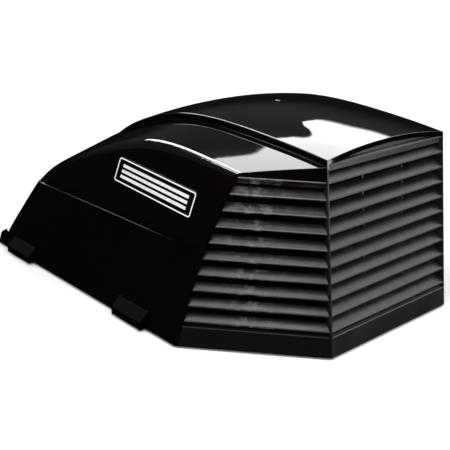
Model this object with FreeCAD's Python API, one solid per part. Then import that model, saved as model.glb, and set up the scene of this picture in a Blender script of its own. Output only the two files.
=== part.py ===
import FreeCAD, Part
import math
import os

V = FreeCAD.Vector

# Roof vent cover: a moulded hood open at the base, with louvre panels closing its
# rear, held on four roof brackets. Millimetres. +X rear (louvres), +Z up.
# The origin is on the roof surface, at the middle of the cover's length and width.

# --- Driving dimensions: hood -------------------------------------------------
RIM_LIFT = 3.2            # the hood's rim stands this far above the roof
HALF_WIDTH = 247.5        # side wall at the rim
WALL_LEAN = 0.19          # side wall leans in this much per mm of height ...
WALL_CURVE = 0.0004       # ... and this much per mm squared
SHELL = 3.0               # moulded wall thickness
REAR_X = 300.7            # rear louvre plane at the rim
POST_Y = 119.5            # rear corner post at the rim
SIDE_END_X = 157.5        # side wall ends here at the rim
REAR_LEAN = 0.15          # the rear plane leans forward per mm of height
POST_LEAN = 0.013         # the posts close in per mm of height

CREASE_Z = 118.0          # height of the step line on the side wall at mid length
CREASE_TILT = 0.01815     # the step line rises towards the rear
CREASE_STEP = 3.5         # the skirt stands proud of the upper wall by this much
CREASE_END_X = 126.0      # the step has faded out here

NOSE_CORNER_X = -281.9    # front corners at the rim
NOSE_BOW = 20.0           # the front bows out this far at the middle
NOSE_RADIUS = 14.0        # plan radius of the front corners
TOE_HEIGHT = 14.0
TOE_TOP = 24.0
TOE_FLARE = 16.0          # the toe stands this far in front of the skirt
SKIRT_RAKE = 0.625        # the skirt's front leans back per mm of height

PANEL_HALF = 116.5        # half width of the raised centre panel
SHOULDER_FALL = 0.28      # the shoulders fall outwards this much per mm
CROWN = 9.0               # the roof and its panel are crowned across their width
PANEL_EDGE_RADIUS = 2.0
CORNER_FRONT = 26.0       # rounding between side wall and shoulder, at the nose ...
CORNER_REAR = 8.0         # ... and at the rear
LIP_THICK = 3.5           # rear lip of the roof, along the louvre planes
LIP_REAR_DROP = 6.0
FLANGE_Z = 214.6          # underside of the lip over the side louvres

# --- Driving dimensions: louvres ----------------------------------------------
BLADE_PITCH = 20.018
FIRST_BLADE_Z = 31.35     # lower outer edge of the lowest blade
BLADE_DEPTH = 18.0
BLADE_SLOPE = 0.70        # blades rise inwards this much per mm of depth
BLADE_THICK = 1.9
REAR_BLADES = 11
SIDE_BLADES = 10
RAIL_HEIGHT = 26.0        # solid bottom rail
RAIL_THICK = 2.6
RIB_SETBACK = 11.0        # stiffening ribs stand behind the blades' front edges
RIB_WIDTH = 3.0
REAR_RIB_Y = 39.5
WEB_THICK = 2.0           # end webs that meet at the corner posts
WALL_WEB_SETBACK = 6.0    # the web beside the side wall stands back from the blades' edges
PANEL_GAP = 0.15
PLANE_LEAD = 40.0         # louvre bars start this far before the plane's base point

# --- Driving dimensions: pockets, brackets, pins and clips --------------------
POCKET_X = (70.0, -197.5)  # rear and front pocket centres
POCKET_LENGTH = 60.0
POCKET_OUT = 255.7        # outer skin of a pocket
POCKET_RIB = 0.8          # end ribs stand proud of the skin
POCKET_SKIN = 2.4
POCKET_END = 3.0
PIN_Y = 248.9
PIN_Z = RIM_LIFT + 8.2
PIN_R = 2.0
PIN_HOLE_R = 2.05
SHEET = 1.2               # rolled bracket sheet
FOOT_IN_Y = 206.0         # inboard edge of a bracket's foot
RISER_Y = 236.0
LEAF_END_Y = 241.0        # the left brackets' leaves reach out this far between the arms
BRACKET_WIDTH = 40.0
HOLE_R = 2.5
HOLE_SPACING = 24.0
CLIP_WIDTH = 12.0
CLIP_REACH = 9.4

# --- Driving dimensions: badge and screws -------------------------------------
BADGE_LENGTH = 161.0
BADGE_HEIGHT = 34.5
BADGE_X = 59.0
BADGE_Z = 170.5
BADGE_PROUD = 1.2
BADGE_DIP = 2.6           # degrees its rear end is lower
BADGE_TURN = 0.66         # degrees it turns with the wall above the tapering step
SCREW_R = 1.5
SCREW_HEAD_R = 3.0
SCREW_HEAD_H = 1.9
NUT_R = 3.1               # across the corners, halved
NUT_THICK = 2.4
CORNER_SCREW_Z = (17.0, 110.8, 190.9)
TOP_RAIL_THICK = 2.4
LIP_HEAD_R = 2.5
LIP_SEAT = LIP_THICK + PANEL_GAP + TOP_RAIL_THICK + 0.1
LIP_SCREW_Z = 217.8
LIP_SCREWS_ALONG = (104.0, 150.0)

FAR = 340.0               # construction solids reach this far

# Side view (x, z) of the fold where each shoulder starts, from below the nose to the rear.
FOLD_LINE = (
    (-262.0, 46.0), (-242.0, 84.0), (-224.0, 114.0), (-205.0, 138.5), (-182.0, 158.5), (-154.0, 175.5),
    (-124.0, 190.0), (-80.0, 208.0), (-36.0, 223.8), (10.0, 234.8), (60.0, 240.6), (110.0, 241.0),
    (165.0, 238.9), (220.0, 235.6), (265.0, 231.2), (340.0, 221.5),
)
# Side view of the raised panel's edge: it leaves the fold on the front slope.
PANEL_LINE = (
    (-180.0, 150.0), (-152.0, 173.0), (-127.0, 190.8), (-104.0, 204.8), (-80.0, 216.3), (-36.0, 232.5),
    (5.0, 242.8), (50.0, 248.3), (90.0, 249.8), (160.0, 247.8), (220.0, 243.7), (265.0, 239.2),
    (340.0, 229.5),
)

SIDES = {"left": -1, "right": 1}


# --- Small helpers --------------------------------------------------------------
def polygon(points):
    """Closed wire through 3-D points."""
    return Part.makePolygon([V(*p) for p in points] + [V(*points[0])])


def prism(points, direction):
    """Solid from a flat closed outline pushed along a direction."""
    return Part.Face(polygon(points)).extrude(V(*direction))


def rod(radius, length, start, direction):
    return Part.makeCylinder(radius, length, V(*start), V(*direction))


def mirrored(shape):
    """Copy on the other side of the symmetry plane."""
    return shape.mirror(V(0, 0, 0), V(0, 1, 0))


def fused(shapes):
    whole = shapes[0]
    if len(shapes) > 1:
        whole = whole.multiFuse(shapes[1:])
    return whole.removeSplitter()


def on_side(shape, side):
    """Shapes are drawn on the left (-Y); the right one is its mirror image."""
    return shape if side < 0 else mirrored(shape)


# --- Hood surfaces ---------------------------------------------------------------
def wall_y(z):
    """Half width of the side wall at a height."""
    return HALF_WIDTH - WALL_LEAN * z - WALL_CURVE * z * z


def crease_z(x):
    return CREASE_Z + CREASE_TILT * (x - 15.0)


def post_corner(z, inset):
    """Left rear corner at a height, with both louvre planes moved in by inset."""
    along = V(REAR_X - SIDE_END_X, HALF_WIDTH - POST_Y, 0).normalize()
    x = REAR_X - inset
    slope = along.y / along.x
    y = -HALF_WIDTH + inset / along.x + slope * (x - SIDE_END_X)
    return x - REAR_LEAN * z, y + POST_LEAN * z


def diagonal_outer(z, inset):
    """Point far out on the left diagonal plane, at a height."""
    along = V(REAR_X - SIDE_END_X, HALF_WIDTH - POST_Y, 0).normalize()
    x, y = post_corner(z, inset)
    return x - along.x * FAR, y - along.y * FAR


def front_zone(inset, low=-30.0, high=300.0):
    """Everything in front of the three louvre planes."""
    wires = []
    for z in (low, high):
        px, py = post_corner(z, inset)
        ox, oy = diagonal_outer(z, inset)
        points = [(-FAR * 2, oy, z), (ox, oy, z), (px, py, z), (px, -py, z), (ox, -oy, z), (-FAR * 2, -oy, z)]
        wires.append(polygon(points))
    return Part.makeLoft(wires, True, True)


def crease_slab(top, drop):
    """Half space above or below the tilted plane of the crease, lowered by drop."""
    reach = FAR * 2
    end = 400.0 if top else -400.0
    points = [
        (-reach, -reach, crease_z(-reach) - drop),
        (reach, -reach, crease_z(reach) - drop),
        (reach, -reach, end),
        (-reach, -reach, end),
    ]
    return prism(points, (0, 2 * reach, 0))


def skirt_ring(z, corner_x, inset):
    """Plan outline of the hood at a height: straight sides, bowed front."""
    w = wall_y(z) - inset
    x = corner_x + inset
    r = NOSE_RADIUS
    rear = [V(FAR, w, z), V(CREASE_END_X, w, z), V(x + r, w, z)]
    corner = V(x + 0.29 * r, w - 0.29 * r, z)
    front = V(x - 1.2, w - r, z)
    nose = V(x - NOSE_BOW, 0, z)

    def flip(p):
        return V(p.x, -p.y, p.z)

    edges = [
        Part.makeLine(rear[0], rear[1]),
        Part.makeLine(rear[1], rear[2]),
        Part.Arc(rear[2], corner, front).toShape(),
        Part.Arc(front, nose, flip(front)).toShape(),
        Part.Arc(flip(front), flip(corner), flip(rear[2])).toShape(),
        Part.makeLine(flip(rear[2]), flip(rear[1])),
        Part.makeLine(flip(rear[1]), flip(rear[0])),
        Part.makeLine(flip(rear[0]), rear[0]),
    ]
    return Part.Wire(edges)


def upper_ring(z, inset):
    """Plan outline above the crease: the step is deepest at the front."""
    w = wall_y(z) - inset
    step = CREASE_STEP * (CREASE_END_X + FAR) / (CREASE_END_X - NOSE_CORNER_X)
    points = [
        (FAR, w, z), (CREASE_END_X, w, z), (-FAR, w - step, z),
        (-FAR, -w + step, z), (CREASE_END_X, -w, z), (FAR, -w, z),
    ]
    return polygon(points)


def side_view(line, y, rise, low):
    """Closed outline in a plane of constant y: a smooth line on top, straight below."""
    curve = Part.BSplineCurve()
    curve.interpolate([V(x, y, z + rise) for x, z in line])
    start = curve.StartPoint
    end = curve.EndPoint
    edges = [
        curve.toShape(),
        Part.makeLine(end, V(end.x, y, low)),
        Part.makeLine(V(end.x, y, low), V(start.x, y, low)),
        Part.makeLine(V(start.x, y, low), start),
    ]
    return Part.Wire(edges)


def crowned(line, half, drop, low):
    """Solid whose top follows a line lengthways and a shallow arch across its width."""
    wires = []
    for share in (-1.0, -0.5, 0.0, 0.5, 1.0):
        arch = CROWN * (1.0 - share * share)
        wires.append(side_view(line, share * half, arch - drop, low))
    return Part.makeLoft(wires, True, False)


def roof_below(inset):
    """Everything below the roof: front slope, shoulders and the space under the panel."""
    low = -250.0
    fall = SHOULDER_FALL * (FAR - PANEL_HALF)
    centre = crowned(FOLD_LINE, PANEL_HALF, inset, low)
    inner = side_view(FOLD_LINE, PANEL_HALF, -inset, low)
    outer = side_view(FOLD_LINE, FAR, -inset - fall, low)
    shoulder = Part.makeLoft([inner, outer], True, True)
    return centre.multiFuse([shoulder, mirrored(shoulder)]).removeSplitter()


def raised_panel(inset):
    """Raised centre panel, from the front slope to past the rear."""
    panel = crowned(PANEL_LINE, PANEL_HALF - inset, inset, 100.0)
    if inset > 0:
        return panel
    top = [e for e in panel.Edges if e.BoundBox.XLength > 400.0 and e.BoundBox.ZLength > 50.0]
    return panel.makeFillet(PANEL_EDGE_RADIUS, top)


def skirt_body(inset):
    """Lower part of the hood with its toe."""
    skirt_rings = []
    for z in (-6.0, 60.0, 130.0):
        skirt_rings.append(skirt_ring(z, NOSE_CORNER_X + TOE_FLARE - 6.0 + SKIRT_RAKE * z, inset))
    skirt = Part.makeLoft(skirt_rings, True, False)
    toe_low = skirt_ring(-6.0, NOSE_CORNER_X, inset)
    toe_mid = skirt_ring(TOE_HEIGHT - inset, NOSE_CORNER_X + 4.0, inset)
    toe_top = skirt_ring(TOE_TOP - inset, NOSE_CORNER_X + TOE_FLARE + 4.0, inset)
    toe = Part.makeLoft([toe_low, toe_mid, toe_top], True, True)
    return skirt, toe


def corner_radius(x):
    """Rounding between side wall and shoulder, shrinking towards the rear."""
    share = (x - NOSE_CORNER_X) / (REAR_X - NOSE_CORNER_X)
    return max(2.0, CORNER_FRONT + (CORNER_REAR - CORNER_FRONT) * share)


def round_shoulders(body):
    """Round the two long edges where the side walls meet the roof."""
    document = FreeCAD.newDocument()
    base = document.addObject("Part::Feature")
    base.Shape = body
    rounded = document.addObject("Part::Fillet")
    rounded.Base = base
    chosen = []
    for index, edge in enumerate(body.Edges, 1):
        box = edge.BoundBox
        on_wall = abs(abs(edge.CenterOfMass.y) - 195.0) < 45.0
        if on_wall and box.XLength > 60.0 and box.ZMax > crease_z(0) + 20.0:
            chosen.append((index, corner_radius(edge.firstVertex().X), corner_radius(edge.lastVertex().X)))
    rounded.Edges = chosen
    document.recompute()
    return rounded.Shape


def hood_body(inset, rounded):
    """The hood as a filled body, its surface moved in by inset."""
    walls = Part.makeLoft([upper_ring(z, inset) for z in (90.0, 150.0, 210.0, 270.0)], True, False)
    upper = walls.common(roof_below(inset)).common(crease_slab(True, inset))
    if rounded:
        upper = round_shoulders(upper)
    skirt, toe = skirt_body(inset)
    lower = skirt.common(crease_slab(False, inset))
    return upper.multiFuse([lower, toe, raised_panel(inset)])


def above_rim(top=320.0):
    """Everything above the hood's rim."""
    return Part.makeBox(4 * FAR, 4 * FAR, top, V(-2 * FAR, -2 * FAR, 0))


# --- Rear opening ------------------------------------------------------------------
def rear_opening(gap):
    """Space below the roof's lip that the louvre panels fill."""
    low = Part.makeBox(4 * FAR, 4 * FAR, FLANGE_Z - gap + 60.0, V(-2 * FAR, -2 * FAR, -60.0))
    y = PANEL_HALF - 1.0 - gap
    edge_z = PANEL_LINE[-2][1] - LIP_REAR_DROP - gap
    crown_z = edge_z + CROWN
    x = REAR_X - 130.0
    edges = [
        Part.makeLine(V(x, -y, 0), V(x, -y, edge_z)),
        Part.Arc(V(x, -y, edge_z), V(x, 0, crown_z), V(x, y, edge_z)).toShape(),
        Part.makeLine(V(x, y, edge_z), V(x, y, 0)),
        Part.makeLine(V(x, y, 0), V(x, -y, 0)),
    ]
    arch = Part.Face(Part.Wire(edges)).extrude(V(FAR, 0, 0))
    return low.fuse(arch)


def pocket_block(cx, proud, start, length):
    """Outside of a bracket pocket on the right side wall."""
    out = POCKET_OUT + proud
    in_y = RISER_Y
    points = [
        (cx + start, in_y, 0), (cx + start, out, 0), (cx + start, out, 10.0 + proud / 2),
        (cx + start, 243.2, 22.2 + proud), (cx + start, in_y, 22.2 + proud),
    ]
    return prism(points, (length, 0, 0))


def pocket_cavity(cx):
    """Room inside a pocket for the bracket and the pin, open below and inboard."""
    skin = POCKET_OUT - POCKET_SKIN
    roof = 13.9
    half = POCKET_LENGTH / 2 - POCKET_END
    points = [
        (cx - half, 228.0, -2.0), (cx - half, skin, -2.0), (cx - half, skin, 8.98),
        (cx - half, skin - 5.04, roof), (cx - half, 228.0, roof),
    ]
    return prism(points, (2 * half, 0, 0))


def pocket_parts(cx):
    """Outside blocks of one pocket, with its thicker end ribs."""
    half = POCKET_LENGTH / 2
    return [
        pocket_block(cx, 0.0, -half, POCKET_LENGTH),
        pocket_block(cx, POCKET_RIB, -half, POCKET_END),
        pocket_block(cx, POCKET_RIB, half - POCKET_END, POCKET_END),
    ]


def pin_hole(cx):
    start = (cx - POCKET_LENGTH / 2 - 4.0, PIN_Y, PIN_Z - RIM_LIFT)
    return rod(PIN_HOLE_R, POCKET_LENGTH + 8.0, start, (1, 0, 0))


def hood():
    """Hood shell: roof, side walls, front, rear lip and the four bracket pockets."""
    outer = hood_body(0.0, True).common(front_zone(0.0)).common(above_rim())
    inner = hood_body(SHELL, False)
    hollow = inner.common(front_zone(LIP_THICK)).fuse(inner.common(rear_opening(0.0)))
    shell = outer.cut(hollow)
    adds = []
    cuts = []
    for cx in POCKET_X:
        for block in pocket_parts(cx):
            adds += [block, mirrored(block)]
        for tool in (pocket_cavity(cx), pin_hole(cx)):
            cuts += [tool, mirrored(tool)]
    blocks = adds[0].multiFuse(adds[1:]).cut(inner)
    shell = shell.fuse(blocks)
    for side in SIDES.values():
        for place in lip_screw_places():
            cuts.append(on_side(lip_screw_hole(*place), side))
    gate = Part.makeCone(0.0, 9.0, 1.2, V(78.0, 0, 258.2), V(0, 0, 1))
    cuts.append(gate)
    for tool in cuts:
        shell = shell.cut(tool)
    return shell


# --- Louvre panels ------------------------------------------------------------------
def left_plane():
    """Base point, run direction, outward normal and lean of the left louvre plane."""
    base = V(SIDE_END_X, -HALF_WIDTH, 0)
    run = V(REAR_X - SIDE_END_X, HALF_WIDTH - POST_Y, 0).normalize()
    out = V(run.y, -run.x, 0)
    lean = REAR_LEAN * out.x - POST_LEAN * out.y
    return base, run, out, lean


def rear_plane():
    return V(REAR_X, -FAR / 2, 0), V(0, 1, 0), V(1, 0, 0), REAR_LEAN


def on_plane(plane, depth, z):
    """Point at a height, a distance behind a louvre plane."""
    base, run, out, lean = plane
    return base - out * (depth + lean * z) + V(0, 0, z) - run * PLANE_LEAD


def strip(plane, section):
    """Bar of constant (depth, z) section along a louvre plane."""
    base, run, out, lean = plane
    points = []
    for depth, z, lean_z in section:
        p = base - out * (depth + lean * lean_z) + V(0, 0, z) - run * PLANE_LEAD
        points.append((p.x, p.y, p.z))
    return prism(points, (run.x * FAR, run.y * FAR, 0))


def blade(plane, index):
    """One louvre blade: low at its outer edge, rising inwards."""
    z = FIRST_BLADE_Z + index * BLADE_PITCH
    tall = BLADE_THICK * 1.2
    rise = BLADE_SLOPE * BLADE_DEPTH
    section = [
        (0.0, z, z), (0.0, z + 1.1, z), (0.9, z + tall, z), (BLADE_DEPTH, z + rise + tall, z),
        (BLADE_DEPTH, z + rise, z), (1.2, z, z),
    ]
    return strip(plane, section)


def bottom_rail(plane):
    """Solid rail with an inward foot along the rim and a rising shelf along its top."""
    t = RAIL_THICK
    h = RAIL_HEIGHT
    rise = BLADE_SLOPE * (BLADE_DEPTH - t)
    section = [
        (0.0, 0.0, 0.0), (0.0, h - 1.0, h), (1.0, h, h), (t, h, h),
        (BLADE_DEPTH, h + rise, h), (BLADE_DEPTH, h + rise - BLADE_THICK, h), (t, h - BLADE_THICK, h),
        (t + 0.4, 2.4, 2.4), (BLADE_DEPTH, 2.4, 2.4), (BLADE_DEPTH, 0.0, 0.0),
    ]
    return strip(plane, section)


def top_rail(plane, low, high):
    """Rail behind the roof's lip."""
    d = LIP_THICK + PANEL_GAP
    inner = d + TOP_RAIL_THICK
    section = [(d, low, low), (d, high, high), (inner, high, high), (inner, low, low)]
    return strip(plane, section)


def rib(plane, along, high):
    """Upright stiffening rib behind the blades."""
    base, run, out, lean = plane
    points = []
    back = BLADE_DEPTH + 4.0
    for depth, z in ((RIB_SETBACK, 1.0), (RIB_SETBACK, high), (back, high), (back, 1.0)):
        p = base - out * (depth + lean * z) + V(0, 0, z) + run * (along - RIB_WIDTH / 2)
        points.append((p.x, p.y, p.z))
    return prism(points, (run.x * RIB_WIDTH, run.y * RIB_WIDTH, 0))


def sector(rear, gap):
    """Room of the rear panel, or of the left one, up to the mitre at the post."""
    wires = []
    for z in (-10.0, 290.0):
        x1, y1 = post_corner(z, -20.0)
        x2, y2 = post_corner(z, 100.0)
        if rear:
            points = [(x1, y1 + gap, z), (x2, y2 + gap, z), (x2, -y2 - gap, z), (x1, -y1 - gap, z)]
        else:
            points = [
                (x1, y1 - gap, z), (x2, y2 - gap, z), (-90.0, y2 - gap, z),
                (-90.0, -FAR, z), (x1, -FAR, z),
            ]
        wires.append(polygon(points))
    return Part.makeLoft(wires, True, True)


def louver(plane, rear, blades, ribs, room):
    """One-piece louvre panel: blades, rails, ribs and end webs."""
    own = room.common(sector(rear, PANEL_GAP / 2))
    band = own.cut(front_zone(BLADE_DEPTH + 4.0))
    top = 250.0 if rear else 222.0
    low = 225.0 if rear else FLANGE_Z - 9.0
    bars = [blade(plane, i) for i in range(blades)]
    bars += [bottom_rail(plane), top_rail(plane, low, top + 10.0)]
    bars += [rib(plane, along, top) for along in ribs]
    bars = bars[0].multiFuse(bars[1:]).common(band)
    webs = band.cut(sector(rear, PANEL_GAP / 2 + WEB_THICK))
    if not rear:
        base, run, out, lean = plane
        wall_web = band.cut(band.translated(run * 2.4)).common(band_near_wall(plane))
        webs = webs.fuse(wall_web.common(front_zone(WALL_WEB_SETBACK)))
    return bars.fuse(webs)


def band_near_wall(plane):
    """Box around the side wall's end of the left panel."""
    base, run, out, lean = plane
    p = base - run * 60.0 + out * 20.0
    points = [
        (p.x, p.y, 0),
        (p.x + run.x * 150.0, p.y + run.y * 150.0, 0),
        (p.x + run.x * 150.0 - out.x * 110.0, p.y + run.y * 150.0 - out.y * 110.0, 0),
        (p.x - out.x * 110.0, p.y - out.y * 110.0, 0),
    ]
    return prism(points, (0, 0, 300.0))


def louver_room():
    """Space inside the hood's rear opening that the panels may use."""
    inner = hood_body(SHELL + PANEL_GAP, False).common(above_rim())
    behind = inner.common(front_zone(LIP_THICK + PANEL_GAP))
    return behind.fuse(inner.common(rear_opening(PANEL_GAP)).common(front_zone(0.0)))


# --- Screws --------------------------------------------------------------------------
def lip_screw_places():
    """Points on the left plane where a screw joins the top rail to the lip."""
    base, run, out, lean = left_plane()
    places = []
    for along in LIP_SCREWS_ALONG:
        p = on_plane(left_plane(), 0.0, LIP_SCREW_Z) + run * (PLANE_LEAD + along)
        places.append((p.x, p.y, p.z))
    return places


def lip_screw_hole(x, y, z):
    base, run, out, lean = left_plane()
    start = V(x, y, z) - out * 12.0
    return Part.makeCylinder(SCREW_R + 0.05, 11.0, start, out)


def lip_screw_access(x, y, z):
    """Bore behind the rail that lets the head in past the top blade."""
    base, run, out, lean = left_plane()
    reach = 30.0
    start = V(x, y, z) - out * reach
    return Part.makeCylinder(LIP_HEAD_R + 0.2, reach - LIP_SEAT + 0.05, start, out)


def lip_screws(side):
    """Screws from inside, through the side panel's top rail into the roof's lip."""
    base, run, out, lean = left_plane()
    screws = []
    for x, y, z in lip_screw_places():
        start = V(x, y, z) - out * LIP_SEAT
        shank = Part.makeCylinder(SCREW_R, LIP_SEAT - 1.2, start, out)
        head = Part.makeCylinder(LIP_HEAD_R, SCREW_HEAD_H, start - out * SCREW_HEAD_H, out)
        slot = Part.makeBox(6.0, 0.8, 0.8)
        slot.translate(V(-3.0, -0.4, -0.4))
        turned = FreeCAD.Placement(start - out * SCREW_HEAD_H, FreeCAD.Rotation(V(1, 0, 0), run))
        slot.Placement = turned.multiply(slot.Placement)
        screws.append(on_side(shank.fuse(head).cut(slot), side))
    return Part.makeCompound(screws)


def corner_axis():
    """Direction square to the left mitre, towards the rear panel."""
    x1, y1 = post_corner(0.0, 0.0)
    x2, y2 = post_corner(0.0, 50.0)
    inward = V(x2 - x1, y2 - y1, 0).normalize()
    return V(inward.y, -inward.x, 0)


def corner_places():
    places = []
    for z in CORNER_SCREW_Z:
        x, y = post_corner(z, 12.0)
        places.append(V(x, y, z))
    return places


def corner_holes():
    axis = corner_axis()
    return [Part.makeCylinder(SCREW_R + 0.05, 12.0, p - axis * 6.0, axis) for p in corner_places()]


def corner_screws(side):
    """Machine screws that join two panels' end webs behind a corner post."""
    axis = corner_axis()
    grip = WEB_THICK + PANEL_GAP
    screws = []
    for p in corner_places():
        shank = Part.makeCylinder(SCREW_R, 2 * grip + 4.0, p - axis * (grip + 4.0), axis)
        head = Part.makeCylinder(SCREW_HEAD_R, SCREW_HEAD_H, p + axis * grip, axis)
        socket = Part.makeCylinder(1.3, 1.2, p + axis * (grip + SCREW_HEAD_H - 1.2), axis)
        screws.append(on_side(shank.fuse(head).cut(socket), side))
    return Part.makeCompound(screws)


def corner_nuts(side):
    axis = corner_axis()
    grip = WEB_THICK + PANEL_GAP
    nuts = []
    for p in corner_places():
        centre = p - axis * grip
        across = axis.cross(V(0, 0, 1))
        points = []
        for k in range(6):
            a = math.radians(60.0 * k)
            q = centre + across * (NUT_R * math.cos(a)) + V(0, 0, NUT_R * math.sin(a))
            points.append((q.x, q.y, q.z))
        nut = prism(points, tuple(axis * -NUT_THICK))
        nut = nut.cut(Part.makeCylinder(SCREW_R + 0.03, 12.0, p - axis * 10.0, axis))
        nuts.append(on_side(nut, side))
    return Part.makeCompound(nuts)


# --- Badge ---------------------------------------------------------------------------
def badge(outer):
    """Blank name plate, lying on the left side wall."""
    slope = math.degrees(math.atan(WALL_LEAN + 2 * WALL_CURVE * BADGE_Z))
    half_l = BADGE_LENGTH / 2
    half_h = BADGE_HEIGHT / 2
    block = Part.makeBox(BADGE_LENGTH, 12.0, BADGE_HEIGHT, V(-half_l, -BADGE_PROUD, -half_h))
    upright = [e for e in block.Edges if e.BoundBox.YLength > 11.0]
    block = block.makeFillet(3.0, upright)
    block.rotate(V(0, 0, 0), V(0, 1, 0), BADGE_DIP)
    block.rotate(V(0, 0, 0), V(1, 0, 0), -slope)
    block.rotate(V(0, 0, 0), V(0, 0, 1), -BADGE_TURN)
    step = CREASE_STEP * (CREASE_END_X - BADGE_X) / (CREASE_END_X - NOSE_CORNER_X)
    block.translate(V(BADGE_X, -wall_y(BADGE_Z) + step, BADGE_Z))
    return block.cut(outer)


# --- Brackets, pins and clips ----------------------------------------------------------
def foot(cx):
    """Flat foot of a bracket on the roof, with its riser."""
    half = BRACKET_WIDTH / 2
    plate = Part.makeBox(BRACKET_WIDTH, RISER_Y - FOOT_IN_Y, SHEET, V(cx - half, FOOT_IN_Y, 0))
    for dx in (-HOLE_SPACING / 2, HOLE_SPACING / 2):
        y = (FOOT_IN_Y + RISER_Y - SHEET) / 2
        plate = plate.cut(rod(HOLE_R, 3.0, (cx + dx, y, -1.0), (0, 0, 1)))
    return plate


def riser(cx, top):
    return Part.makeBox(BRACKET_WIDTH, SHEET, top, V(cx - BRACKET_WIDTH / 2, RISER_Y - SHEET, 0))


def ring(cx, start, length, inner, outer):
    tube = rod(outer, length, (cx + start, PIN_Y, PIN_Z), (1, 0, 0))
    return tube.cut(rod(inner, length, (cx + start, PIN_Y, PIN_Z), (1, 0, 0)))


def hinge_bracket(cx):
    """Right-hand bracket: its leaf ends in a rolled knuckle around the pin."""
    half = BRACKET_WIDTH / 2
    leaf_z = PIN_Z + PIN_HOLE_R
    leaf = Part.makeBox(BRACKET_WIDTH, PIN_Y - RISER_Y + SHEET, SHEET, V(cx - half, RISER_Y - SHEET, leaf_z))
    knuckle = ring(cx, -half, BRACKET_WIDTH, PIN_HOLE_R, PIN_HOLE_R + SHEET)
    return fused([foot(cx), riser(cx, leaf_z + SHEET), leaf, knuckle])


def catch_bracket(cx):
    """Left-hand bracket: two open cradles that the pin drops into, with a gap for the clip."""
    half = BRACKET_WIDTH / 2
    slot = CLIP_WIDTH / 2 + 1.0
    inner = 2.3
    outer = inner + SHEET
    leaf_z = PIN_Z - SHEET
    parts = [foot(cx), riser(cx, PIN_Z)]
    reach = LEAF_END_Y - RISER_Y + SHEET
    parts.append(Part.makeBox(BRACKET_WIDTH, reach, SHEET, V(cx - half, RISER_Y - SHEET, leaf_z)))
    for start in (-half, slot):
        width = half - slot
        cradle = ring(cx, start, width, inner, outer)
        above = Part.makeBox(width, 4 * outer, 2 * outer, V(cx + start, PIN_Y - 2 * outer, PIN_Z))
        arm = Part.makeBox(width, PIN_Y - inner - RISER_Y, SHEET, V(cx + start, RISER_Y, leaf_z))
        arm = arm.cut(rod(inner, width, (cx + start, PIN_Y, PIN_Z), (1, 0, 0)))
        parts += [cradle.cut(above), arm]
    return mirrored(fused(parts))


def pin(cx, side):
    """Pin through both ends of a pocket, with a flat head at the rear."""
    half = POCKET_LENGTH / 2
    shank = rod(PIN_R, POCKET_LENGTH + 4.0, (cx - half - 3.0, PIN_Y, PIN_Z), (1, 0, 0))
    shank = shank.makeChamfer(0.5, [shank.Edges[0], shank.Edges[2]])
    head = rod(2.9, 1.4, (cx + half + 0.2, PIN_Y, PIN_Z), (1, 0, 0))
    whole = fused([shank, head])
    return whole if side > 0 else mirrored(whole)


def retainers():
    """Push-on rings that hold the pins at their front ends."""
    rings = []
    for cx in POCKET_X:
        for side in SIDES.values():
            r = ring(cx, -POCKET_LENGTH / 2 - 1.3, 0.9, PIN_R + 0.02, 2.9)
            rings.append(r if side > 0 else mirrored(r))
    return Part.makeCompound(rings)


def clip(cx):
    """Swing clip on a left pin, hanging free; it swings inboard under the bracket."""
    half = CLIP_WIDTH / 2
    eye = ring(cx, -half, CLIP_WIDTH, PIN_HOLE_R + 0.01, 3.3)
    arm = Part.makeBox(CLIP_WIDTH, 2.0, CLIP_REACH - 2.6, V(cx - half, PIN_Y - 1.0, PIN_Z - CLIP_REACH))
    thumb = Part.makeBox(CLIP_WIDTH, 3.0, 2.2, V(cx - half, PIN_Y - 1.0, PIN_Z - CLIP_REACH))
    whole = fused([eye, arm, thumb])
    whole = whole.cut(rod(PIN_HOLE_R + 0.01, CLIP_WIDTH, (cx - half, PIN_Y, PIN_Z), (1, 0, 0)))
    return mirrored(whole)


# --- Assembly --------------------------------------------------------------------------
def export(name, shape):
    shape.exportStep("parts/" + name + ".step")


def export_cover(name, shape):
    """Parts of the cover are drawn from the rim and stand above the roof."""
    export(name, shape.translated(V(0, 0, RIM_LIFT)))


def main():
    os.makedirs("parts", exist_ok=True)
    shell = hood()
    export_cover("hood", shell)
    room = louver_room()
    left = louver(left_plane(), False, SIDE_BLADES, (96.0,), room)
    for hole in corner_holes():
        left = left.cut(hole)
    for place in lip_screw_places():
        left = left.cut(lip_screw_hole(*place)).cut(lip_screw_access(*place))
    mid = FAR / 2
    rear = louver(rear_plane(), True, REAR_BLADES, (mid - REAR_RIB_Y, mid + REAR_RIB_Y), room)
    for hole in corner_holes():
        rear = rear.cut(hole).cut(mirrored(hole))
    export_cover("rear_louver", rear)
    for name, side in SIDES.items():
        export_cover(name + "_louver", on_side(left, side))
        export_cover(name + "_lip_screws", lip_screws(side))
        export_cover(name + "_corner_screws", corner_screws(side))
        export_cover(name + "_corner_nuts", corner_nuts(side))
        for where, cx in zip(("rear", "front"), POCKET_X):
            bracket = hinge_bracket(cx) if side > 0 else catch_bracket(cx)
            export(name + "_" + where + "_bracket", bracket)
            export(name + "_" + where + "_pin", pin(cx, side))
    for where, cx in zip(("rear", "front"), POCKET_X):
        export(where + "_clip", clip(cx))
    export("pin_retainers", retainers())
    export_cover("badge_plate", badge(hood_body(0.0, False)))


main()
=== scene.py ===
import math

import bmesh
import bpy
from mathutils import Matrix, Vector


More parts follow.
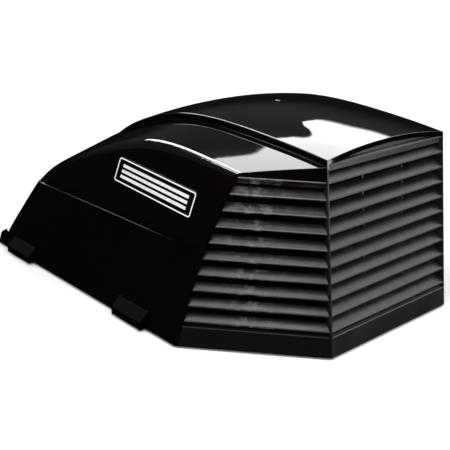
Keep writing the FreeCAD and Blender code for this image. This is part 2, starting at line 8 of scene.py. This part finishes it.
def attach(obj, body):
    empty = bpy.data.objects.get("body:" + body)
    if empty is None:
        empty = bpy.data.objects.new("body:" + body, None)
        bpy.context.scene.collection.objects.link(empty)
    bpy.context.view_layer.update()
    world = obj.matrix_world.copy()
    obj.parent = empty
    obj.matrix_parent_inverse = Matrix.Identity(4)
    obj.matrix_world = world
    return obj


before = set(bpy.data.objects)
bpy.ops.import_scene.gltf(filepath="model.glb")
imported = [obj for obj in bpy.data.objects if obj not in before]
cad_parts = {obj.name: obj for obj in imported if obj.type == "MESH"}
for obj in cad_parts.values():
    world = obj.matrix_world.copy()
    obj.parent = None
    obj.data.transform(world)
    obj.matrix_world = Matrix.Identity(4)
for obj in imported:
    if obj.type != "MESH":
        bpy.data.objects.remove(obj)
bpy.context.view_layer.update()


# --- Figures of the object that the looks depend on, in metres ------------------------------
SIDE_END_X = 0.1575        # side louvre plane starts here at the rim
HALF_WIDTH = 0.2475
SIDE_NORMAL = (0.7456, 0.6664)  # the side plane's inward direction: across and forward
SIDE_LEAN = 0.110          # the side planes lean inward per metre of height
REAR_X = 0.3012            # rear louvre plane at roof level
REAR_LEAN = 0.15           # and it leans forward
SIDE_SHADE_DEPTH = 0.0082  # painted shade on the blades starts this far behind the outer plane
REAR_SHADE_DEPTH = 0.0120
RAIL_TOP = 0.0300          # upper edge of the bottom rail
FIRST_BLADE = 0.0360       # the smudges start above this height
SMUDGE_ALONG = 0.090       # the smudges sit beside the side panel's rib
SMUDGE_REACH = 0.050
SHOULDER_FROM = 0.1175     # the shoulders start here and are very slightly crowned
SHOULDER_MID = 0.155
SHOULDER_CROWN = 0.67
GATE_X = 0.078             # moulding gate mark on the roof's centre line


# --- Node helpers ----------------------------------------------------------------------------
class Nodes:
    """Short way to write the node tree of a material or world."""

    def __init__(self, owner, output):
        owner.use_nodes = True
        self.owner = owner
        self.tree = owner.node_tree
        self.tree.nodes.clear()
        self.surface = self.add(output).inputs["Surface"]

    def add(self, kind, inputs=None, **settings):
        node = self.tree.nodes.new("ShaderNode" + kind)
        for key, value in settings.items():
            setattr(node, key, value)
        for key, value in (inputs or {}).items():
            self.link(value, node.inputs[key])
        return node

    def link(self, value, socket):
        if isinstance(value, bpy.types.NodeSocket):
            self.tree.links.new(value, socket)
        else:
            socket.default_value = value

    def place(self):
        """Object coordinates in metres, the same for every piece."""
        return self.add("TexCoord").outputs["Object"]

    def noise(self, scale, detail=3.0, rough=0.55, vector=None):
        inputs = {"Scale": scale, "Detail": detail, "Roughness": rough, "Vector": vector or self.place()}
        return self.add("TexNoise", inputs).outputs["Fac"]

    def ramp(self, value, low, high, to_low=0.0, to_high=1.0):
        """Smooth step of the value from one level to another."""
        inputs = {"Value": value, "From Min": low, "From Max": high, "To Min": to_low, "To Max": to_high}
        return self.add("MapRange", inputs, interpolation_type="SMOOTHSTEP").outputs["Result"]

    def mix(self, factor, a, b):
        """Blend of two colours."""
        return self.add("Mix", {"Factor": factor, 6: a, 7: b}, data_type="RGBA").outputs[2]

    def math(self, operation, a, b=0.0):
        return self.add("Math", {0: a, 1: b}, operation=operation).outputs[0]

    def plus(self, a, b):
        return self.math("ADD", a, b)

    def minus(self, a, b):
        return self.math("SUBTRACT", a, b)

    def times(self, a, b):
        return self.math("MULTIPLY", a, b)

    def bump(self, height, distance, strength=1.0, normal=None):
        inputs = {"Height": height, "Distance": distance, "Strength": strength}
        if normal is not None:
            inputs["Normal"] = normal
        return self.add("Bump", inputs).outputs["Normal"]

    def split(self, vector):
        """X, Y and Z outputs of a vector."""
        return self.add("SeparateXYZ", {"Vector": vector}).outputs

    def rounded(self, radius):
        """Normal that softens hard edges by a small radius."""
        return self.add("Bevel", {"Radius": radius}, samples=6).outputs["Normal"]

    def choose(self, factor, a, b):
        """Blend of two shaders."""
        return self.add("MixShader", {0: factor, 1: a, 2: b}).outputs[0]

    def principled(self, **inputs):
        inputs = {key.replace("_", " "): value for key, value in inputs.items()}
        return self.add("BsdfPrincipled", inputs).outputs["BSDF"]

    def finish(self, **inputs):
        """Close a material with one principled shader."""
        self.link(self.principled(**inputs), self.surface)
        return self.owner


def material_nodes(name):
    return Nodes(bpy.data.materials.new(name), "OutputMaterial")


# --- Materials -------------------------------------------------------------------------------
def gloss_black(name="gloss_black_plastic", tint=1.0):
    """High-gloss moulded plastic: almost black, slightly brown, faintly dusty."""
    n = material_nodes(name)
    dust = n.ramp(n.noise(140.0, 6.0, 0.7), 0.56, 0.78)
    colour = n.mix(n.noise(9.0, 4.0), (0.0009 * tint, 0.0005, 0.0005, 1), (0.0016 * tint, 0.0010, 0.0010, 1))
    colour = n.mix(n.times(dust, 0.03), colour, (0.05, 0.046, 0.042, 1))
    rough = n.plus(n.ramp(n.noise(22.0, 5.0), 0.3, 0.75, 0.012, 0.035), n.times(dust, 0.03))
    normal = n.bump(n.noise(170.0, 2.0), 0.0002, 0.05, n.rounded(0.0008))
    normal = n.bump(n.noise(13.0, 1.0), 0.0016, 0.16, normal)
    normal = n.bump(shoulder_crown(n), 1.0, 1.0, normal)
    normal = n.bump(gate_mark(n), 0.0009, 1.0, normal)
    return n.finish(Base_Color=colour, Roughness=rough, IOR=1.49, Normal=normal)


def shoulder_crown(n):
    """Height of the shoulders' crown, falling away on both sides of their middle."""
    across = n.math("ABSOLUTE", n.split(n.place())[1])
    out = n.minus(n.math("MAXIMUM", across, SHOULDER_FROM), SHOULDER_MID)
    return n.times(n.times(out, out), -SHOULDER_CROWN)


def gate_mark(n):
    """Small round dimple that the moulding gate leaves on the roof."""
    x, y, _ = n.split(n.place())
    dx = n.minus(x, GATE_X)
    far = n.math("SQRT", n.plus(n.times(dx, dx), n.times(y, y)))
    return n.ramp(far, 0.003, 0.010)


def louver_place(n, rear):
    """Depth behind the louvre's outer plane, distance along the side plane, and height."""
    x, y, z = n.split(n.place())
    inward = n.minus(HALF_WIDTH, n.math("ABSOLUTE", y))
    forward = n.minus(SIDE_END_X, x)
    across, ahead = SIDE_NORMAL
    along = n.minus(n.times(inward, ahead), n.times(forward, across))
    if rear:
        depth = n.minus(n.minus(REAR_X, x), n.times(z, REAR_LEAN))
    else:
        depth = n.minus(n.plus(n.times(inward, across), n.times(forward, ahead)), n.times(z, SIDE_LEAN))
    return depth, along, z


def louver_smudge(n, along, z, painted_shade):
    """Pale marks on the blades' outer faces, mostly beside the side panel's rib."""
    near = n.ramp(n.math("ABSOLUTE", n.minus(along, SMUDGE_ALONG)), 0.0, SMUDGE_REACH, 1.0, 0.0)
    patch = n.ramp(n.noise(80.0, 6.0, 0.68), 0.45, 0.68)
    smudge = n.times(patch, n.plus(n.times(near, 0.42), 0.05))
    smudge = n.times(smudge, n.ramp(z, RAIL_TOP, FIRST_BLADE))
    # The smudges are left out under the painted shade.
    return n.times(smudge, n.minus(1.0, painted_shade))


def satin_black(name, shade_depth, rear):
    """Satin moulded plastic of the louvres: painted shade (darker colour, weaker reflection) on the blades'
    inner parts and the side louvres' bottom rail; the outer parts keep the satin sheen and get pale smudges.
    """
    n = material_nodes(name)
    depth, along, z = louver_place(n, rear)
    # Painted shade: past the given depth behind the outer plane, the blades' inner parts get a darker
    # colour, more roughness and a weaker reflection.
    painted_shade = n.ramp(depth, shade_depth, shade_depth + 0.0014)
    # On the side louvres the bottom rail gets painted shade too, fading out above the rail's top edge.
    if not rear:
        painted_shade = n.math("MAXIMUM", painted_shade, n.ramp(z, RAIL_TOP, RAIL_TOP + 0.003, 0.55, 0.0))
    smudge = louver_smudge(n, along, z, painted_shade)
    grain = n.noise(900.0, 3.0)
    colour = n.mix(grain, (0.0024, 0.0023, 0.0027, 1), (0.0044, 0.0042, 0.0048, 1))
    colour = n.mix(smudge, colour, (0.16, 0.158, 0.155, 1))
    # Colour of the painted shade.
    colour = n.mix(painted_shade, colour, (0.0009, 0.0009, 0.0010, 1))
    rough = n.plus(n.ramp(n.noise(24.0, 4.0), 0.3, 0.7, 0.30, 0.38), n.times(smudge, 0.18))
    rough = n.plus(rough, n.times(painted_shade, 0.3))
    # Painted shade weakens the reflection.
    shaded_specular = n.ramp(painted_shade, 0.0, 1.0, 0.55, 0.04)
    bump = n.bump(grain, 0.00008, 0.30, n.rounded(0.0005))
    return n.finish(Base_Color=colour, Roughness=rough, IOR=1.5, Normal=bump, Specular_IOR_Level=shaded_specular)


def steel(name, base):
    """Stainless steel with a fine rolled grain."""
    n = material_nodes(name)
    stretch = n.add("Mapping", {"Vector": n.place(), "Scale": (30.0, 900.0, 900.0)})
    grain = n.noise(1.0, 4.0, 0.6, stretch.outputs["Vector"])
    colour = n.mix(n.noise(60.0, 3.0), (base, base, base, 1), (base * 0.78, base * 0.77, base * 0.75, 1))
    rough = n.ramp(grain, 0.25, 0.75, 0.22, 0.42)
    return n.finish(Base_Color=colour, Metallic=1.0, Roughness=rough, Normal=n.bump(grain, 0.00004, 0.5))


def nylon():
    """Dark grained nylon of the swing clips."""
    n = material_nodes("black_nylon")
    grain = n.noise(700.0, 3.0)
    colour = n.mix(grain, (0.010, 0.010, 0.0105, 1), (0.018, 0.018, 0.0185, 1))
    rough = n.ramp(grain, 0.2, 0.8, 0.45, 0.62)
    bump = n.bump(grain, 0.0001, 0.4, n.rounded(0.0005))
    return n.finish(Base_Color=colour, Roughness=rough, Normal=bump)


def foil(name, pale, worn_grey):
    """Hot-stamped foil of the name plate: pale, speckled where it has worn."""
    n = material_nodes(name)
    worn = n.ramp(n.noise(900.0, 5.0, 0.7), 0.42, 0.60)
    shaded = tuple(c * 0.86 for c in pale)
    colour = n.mix(n.noise(120.0, 3.0), pale + (1,), shaded + (1,))
    colour = n.mix(n.times(worn, 0.65), colour, (worn_grey, worn_grey, worn_grey, 1))
    rough = n.ramp(worn, 0.0, 1.0, 0.38, 0.6)
    return n.finish(Base_Color=colour, Metallic=0.15, Roughness=rough, Normal=n.bump(worn, 0.00003, 0.5))


def assign(names, material):
    for name in names:
        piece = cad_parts[name]
        piece.data.materials.clear()
        piece.data.materials.append(material)


def dress_frame():
    """Give every piece of the frame its material."""
    names = sorted(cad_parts)
    fasteners = [n for n in names if "screws" in n or "nuts" in n or n == "pin_retainers"]
    assign(["hood"], gloss_black())
    assign(["badge_plate"], gloss_black("badge_black_plastic", 0.9))
    assign(["rear_louver"], satin_black("satin_black_rear", REAR_SHADE_DEPTH, True))
    assign(["left_louver", "right_louver"], satin_black("satin_black_side", SIDE_SHADE_DEPTH, False))
    assign([n for n in names if n.endswith("bracket")], steel("bracket_stainless", 0.55))
    assign([n for n in names if n.endswith("_pin")], steel("pin_black_zinc", 0.035))
    assign([n for n in names if n.endswith("clip")], nylon())
    assign(fasteners, steel("fastener_stainless", 0.62))


dress_frame()


# --- Name plate print ------------------------------------------------------------------------
FOIL_THICK = 0.0003
BORDER_HALF = (0.0790, 0.0158)   # half length and half height of the border line
BORDER_WIDTH = 0.0015
BORDER_RADIUS = 0.0034
STRIPE_HALF = 0.0680
STRIPE_HEIGHT = 0.0040
STRIPE_PITCH = 0.0072


def plate_face(piece):
    """Outward direction of the name plate's face and the face's corner points."""
    world = piece.matrix_world
    faces = [(world.to_3x3() @ p.normal, p) for p in piece.data.polygons]
    out = Vector((0, -1, 0))
    for least in (0.90, 0.98, 0.995):
        facing = [normal * p.area for normal, p in faces if normal.dot(out) > least]
        out = sum(facing, Vector()).normalized()
    corners = {v for normal, p in faces if normal.dot(out) > 0.999 for v in p.vertices}
    points = [world @ piece.data.vertices[v].co for v in corners]
    height = max(p.dot(out) for p in points)
    return out, [p for p in points if p.dot(out) > height - 0.0002]


def plate_axes():
    """Centre, length, height and outward directions of the name plate's face."""
    out, points = plate_face(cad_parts["badge_plate"])
    side = Vector((1, 0, 0))
    side = (side - out * side.dot(out)).normalized()
    up = side.cross(out)
    if up.z < 0:
        up = -up
    flat = [(p.dot(side), p.dot(up)) for p in points]
    mid = [(max(q[i] for q in flat) + min(q[i] for q in flat)) / 2 for i in (0, 1)]
    xx = sum((u - mid[0]) ** 2 for u, w in flat)
    yy = sum((w - mid[1]) ** 2 for u, w in flat)
    xy = sum((u - mid[0]) * (w - mid[1]) for u, w in flat)
    turn = 0.5 * math.atan2(2 * xy, xx - yy)
    centre = side * mid[0] + up * mid[1] + out * max(p.dot(out) for p in points)
    along = side * math.cos(turn) + up * math.sin(turn)
    across = up * math.cos(turn) - side * math.sin(turn)
    return centre, along, across, out


def rounded_loop(half_l, half_h, radius, steps=6):
    """Points round a rectangle with rounded corners."""
    loop = []
    for cx, cy, start in ((1, 1, 0), (-1, 1, 90), (-1, -1, 180), (1, -1, 270)):
        for k in range(steps + 1):
            a = math.radians(start + 90.0 * k / steps)
            x = cx * (half_l - radius) + radius * math.cos(a)
            y = cy * (half_h - radius) + radius * math.sin(a)
            loop.append((x, y))
    return loop


def stripe(middle):
    """Plain straight stripe along the plate."""
    low, high = middle - STRIPE_HEIGHT / 2, middle + STRIPE_HEIGHT / 2
    return [(-STRIPE_HALF, low), (STRIPE_HALF, low), (STRIPE_HALF, high), (-STRIPE_HALF, high)]


def raised_print(name, shapes, material):
    """Thin raised foil on the plate: each shape is an outline and the hole inside it, or None."""
    centre, along, across, out = plate_axes()
    mesh = bmesh.new()

    def point(q, height):
        return mesh.verts.new(centre + along * q[0] + across * q[1] + out * height)

    for outline, hole in shapes:
        tops = []
        for loop in [outline] + ([hole] if hole else []):
            low, high = ([point(q, height) for q in loop] for height in (0.0, FOIL_THICK))
            for k in range(len(loop)):
                mesh.faces.new((low[k - 1], low[k], high[k], high[k - 1]))
            tops.append(high)
        if hole:
            outer, inner = tops
            for k in range(len(outer)):
                mesh.faces.new((outer[k - 1], outer[k], inner[k], inner[k - 1]))
        else:
            mesh.faces.new(tops[0])
    bmesh.ops.recalc_face_normals(mesh, faces=mesh.faces)
    data = bpy.data.meshes.new(name)
    mesh.to_mesh(data)
    mesh.free()
    data.materials.append(material)
    piece = bpy.data.objects.new(name, data)
    bpy.context.scene.collection.objects.link(piece)
    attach(piece, "cover")


def plate_print():
    """White border line and three plain stripes."""
    half_l, half_h = BORDER_HALF
    outline = rounded_loop(half_l, half_h, BORDER_RADIUS)
    hole = rounded_loop(half_l - BORDER_WIDTH, half_h - BORDER_WIDTH, BORDER_RADIUS - 0.0014)
    raised_print("badge_border", [(outline, hole)], foil("border_foil", (0.93, 0.93, 0.93), 0.45))
    stripes = [(stripe(step * STRIPE_PITCH), None) for step in (-1, 0, 1)]
    raised_print("badge_stripes", stripes, foil("stripe_foil", (0.88, 0.88, 0.89), 0.16))


plate_print()


# --- Stage -----------------------------------------------------------------------------------
FLOOR_HALF = 6.0


def floor():
    """Pale floor, clear from below. In mirror reflections it is dark, as with black card round the set."""
    mesh = bpy.data.meshes.new("floor")
    s = FLOOR_HALF
    mesh.from_pydata([(-s, -s, 0), (s, -s, 0), (s, s, 0), (-s, s, 0)], [], [(0, 1, 2, 3)])
    piece = bpy.data.objects.new("floor", mesh)
    bpy.context.scene.collection.objects.link(piece)
    n = material_nodes("pale_floor")
    colour = n.mix(n.noise(3.0, 2.0), (0.88, 0.88, 0.88, 1), (0.90, 0.90, 0.90, 1))
    mirror = n.add("LightPath").outputs["Is Glossy Ray"]
    colour = n.mix(mirror, colour, (0.005, 0.0045, 0.0045, 1))
    top = n.principled(Base_Color=colour, Roughness=0.9, Specular_IOR_Level=0.0)
    below = n.add("NewGeometry").outputs["Backfacing"]
    n.link(n.choose(below, top, n.add("BsdfTransparent").outputs[0]), n.surface)
    mesh.materials.append(n.owner)


# The surroundings are lit by direction. A direction is given by its slopes: u towards the rear
# and v towards the right, each per unit of height, and z is how steeply it rises.
CEILING_EDGE = 0.64        # where the ceiling light ends, as a slope towards the front
CEILING_SLANT = 0.48
CEILING_STEPS = ((0.80, 0.93, 0.15), (0.96, 1.30, -0.27), (1.35, 1.75, 0.16))  # along v: from, to, how far
CEILING_RIPPLE = 0.06
CEILING_LOW = 0.34
CEILING_LEVEL = 7.2
CEILING_REAR = 0.26        # the share that is left over the rear louvre
OVERHEAD_SHARE = 0.05      # and over the side louvre
STRIPS = ((0.22, 0.20, -2.2), (0.66, 0.09, -1.0))  # long lamps: position across, half width, reach
STRIP_SLANT = 0.49
STRIP_LEVEL = 14.0
SOFT_LEVEL = 1.35          # even light that dull surfaces receive
STUDIO_WHITE = (1.0, 0.985, 0.97, 1)


def ceiling(n, direction, u, v, z):
    """Large soft light with an uneven front edge."""
    wave = n.ramp(v, 0.48, 0.72, 0.15, 0.01)
    for start, end, change in CEILING_STEPS:
        wave = n.plus(wave, n.ramp(v, start, end, 0.0, change))
    ripple = n.times(n.minus(n.noise(5.0, 1.0, 0.5, direction), 0.5), CEILING_RIPPLE)
    edge = n.plus(n.plus(u, n.times(v, CEILING_SLANT)), CEILING_EDGE)
    lit = n.ramp(n.plus(edge, n.plus(wave, ripple)), 0.0, 0.02)
    lit = n.times(lit, n.ramp(z, CEILING_LOW, CEILING_LOW + 0.04))
    rear = n.times(n.ramp(u, -0.6, 0.1), n.ramp(v, 0.2, 0.9))
    return n.times(n.times(lit, n.ramp(rear, 0.0, 1.0, 1.0, CEILING_REAR)), CEILING_LEVEL)


def long_lamp(n, u, v, z, offset, half, reach):
    """One long straight lamp in the surroundings."""
    across = n.math("ABSOLUTE", n.plus(n.plus(v, n.times(u, STRIP_SLANT)), offset))
    lit = n.times(n.ramp(across, half, half + 0.015, 1.0, 0.0), n.ramp(u, reach, reach + 0.1))
    return n.times(n.times(lit, n.ramp(z, 0.30, 0.36)), STRIP_LEVEL)


def studio():
    """White backdrop for the camera; a large soft ceiling and dark walls for everything else."""
    world = bpy.data.worlds.new("studio")
    n = Nodes(world, "OutputWorld")
    direction = n.add("TexCoord").outputs["Generated"]
    x, y, z = n.split(direction)
    up = n.math("MAXIMUM", z, 0.02)
    u = n.math("DIVIDE", x, up)
    v = n.math("DIVIDE", y, up)
    level = ceiling(n, direction, u, v, z)
    for offset, half, reach in STRIPS:
        level = n.math("MAXIMUM", level, long_lamp(n, u, v, z, offset, half, reach))
    walls = n.plus(n.ramp(z, 0.12, 0.36, 0.012, 0.10), n.ramp(z, 0.60, 0.80, 0.0, 0.9))
    overhead = n.times(n.ramp(u, -0.9, -0.4), n.ramp(v, 0.25, 0.60, 1.0, 0.0))
    level = n.times(n.plus(level, walls), n.ramp(overhead, 0.0, 1.0, 1.0, OVERHEAD_SHARE))
    ray = n.add("LightPath").outputs
    soft = ray["Is Diffuse Ray"]
    level = n.plus(n.times(level, n.minus(1.0, soft)), n.times(soft, SOFT_LEVEL))
    lit = n.add("Background", {"Color": STUDIO_WHITE, "Strength": level}).outputs["Background"]
    shown = n.add("Background", {"Color": (1, 1, 1, 1), "Strength": 1.0}).outputs["Background"]
    n.link(n.choose(ray["Is Camera Ray"], lit, shown), n.surface)
    world.cycles.sampling_method = "NONE"  # so that the ray kinds above are always told apart
    bpy.context.scene.world = world


def softbox(name, at, towards, size, power):
    """Square area lamp."""
    lamp = bpy.data.lights.new(name, "AREA")
    lamp.shape = "RECTANGLE"
    lamp.size = lamp.size_y = size
    lamp.energy = power
    piece = bpy.data.objects.new(name, lamp)
    piece.location = at
    piece.rotation_euler = (Vector(towards) - Vector(at)).to_track_quat("-Z", "Y").to_euler()
    bpy.context.scene.collection.objects.link(piece)


CAMERA_AT = (0.8594, -0.8415, 0.5114)
CAMERA_AZIMUTH = 46.278
CAMERA_ELEVATION = 20.736
CAMERA_ROLL = 2.4
CAMERA_LENS = 67.95


def camera():
    """Camera at the photograph's viewing angle."""
    azimuth, elevation, roll = (math.radians(a) for a in (CAMERA_AZIMUTH, CAMERA_ELEVATION, CAMERA_ROLL))
    level = math.cos(elevation)
    back = Vector((math.sin(azimuth) * level, -math.cos(azimuth) * level, math.sin(elevation)))
    right = (-back).cross(Vector((0, 0, 1))).normalized()
    up = right.cross(-back)
    rolled_right = right * math.cos(roll) + up * math.sin(roll)
    rolled_up = up * math.cos(roll) - right * math.sin(roll)
    turn = Matrix((rolled_right, rolled_up, back)).transposed().to_4x4()
    data = bpy.data.cameras.new("camera")
    data.lens = CAMERA_LENS
    data.sensor_width = 36.0
    piece = bpy.data.objects.new("camera", data)
    piece.matrix_world = Matrix.Translation(CAMERA_AT) @ turn
    bpy.context.scene.collection.objects.link(piece)
    bpy.context.scene.camera = piece


floor()
studio()
softbox("side_softbox", (0.33, -0.31, 0.52), (0.22, -0.19, 0.12), 0.26, 1.3)
softbox("rear_softbox", (1.6, 0.9, 0.35), (0.3, 0.0, 0.05), 0.7, 9.0)
camera()
bpy.context.scene.view_settings.view_transform = "Standard"
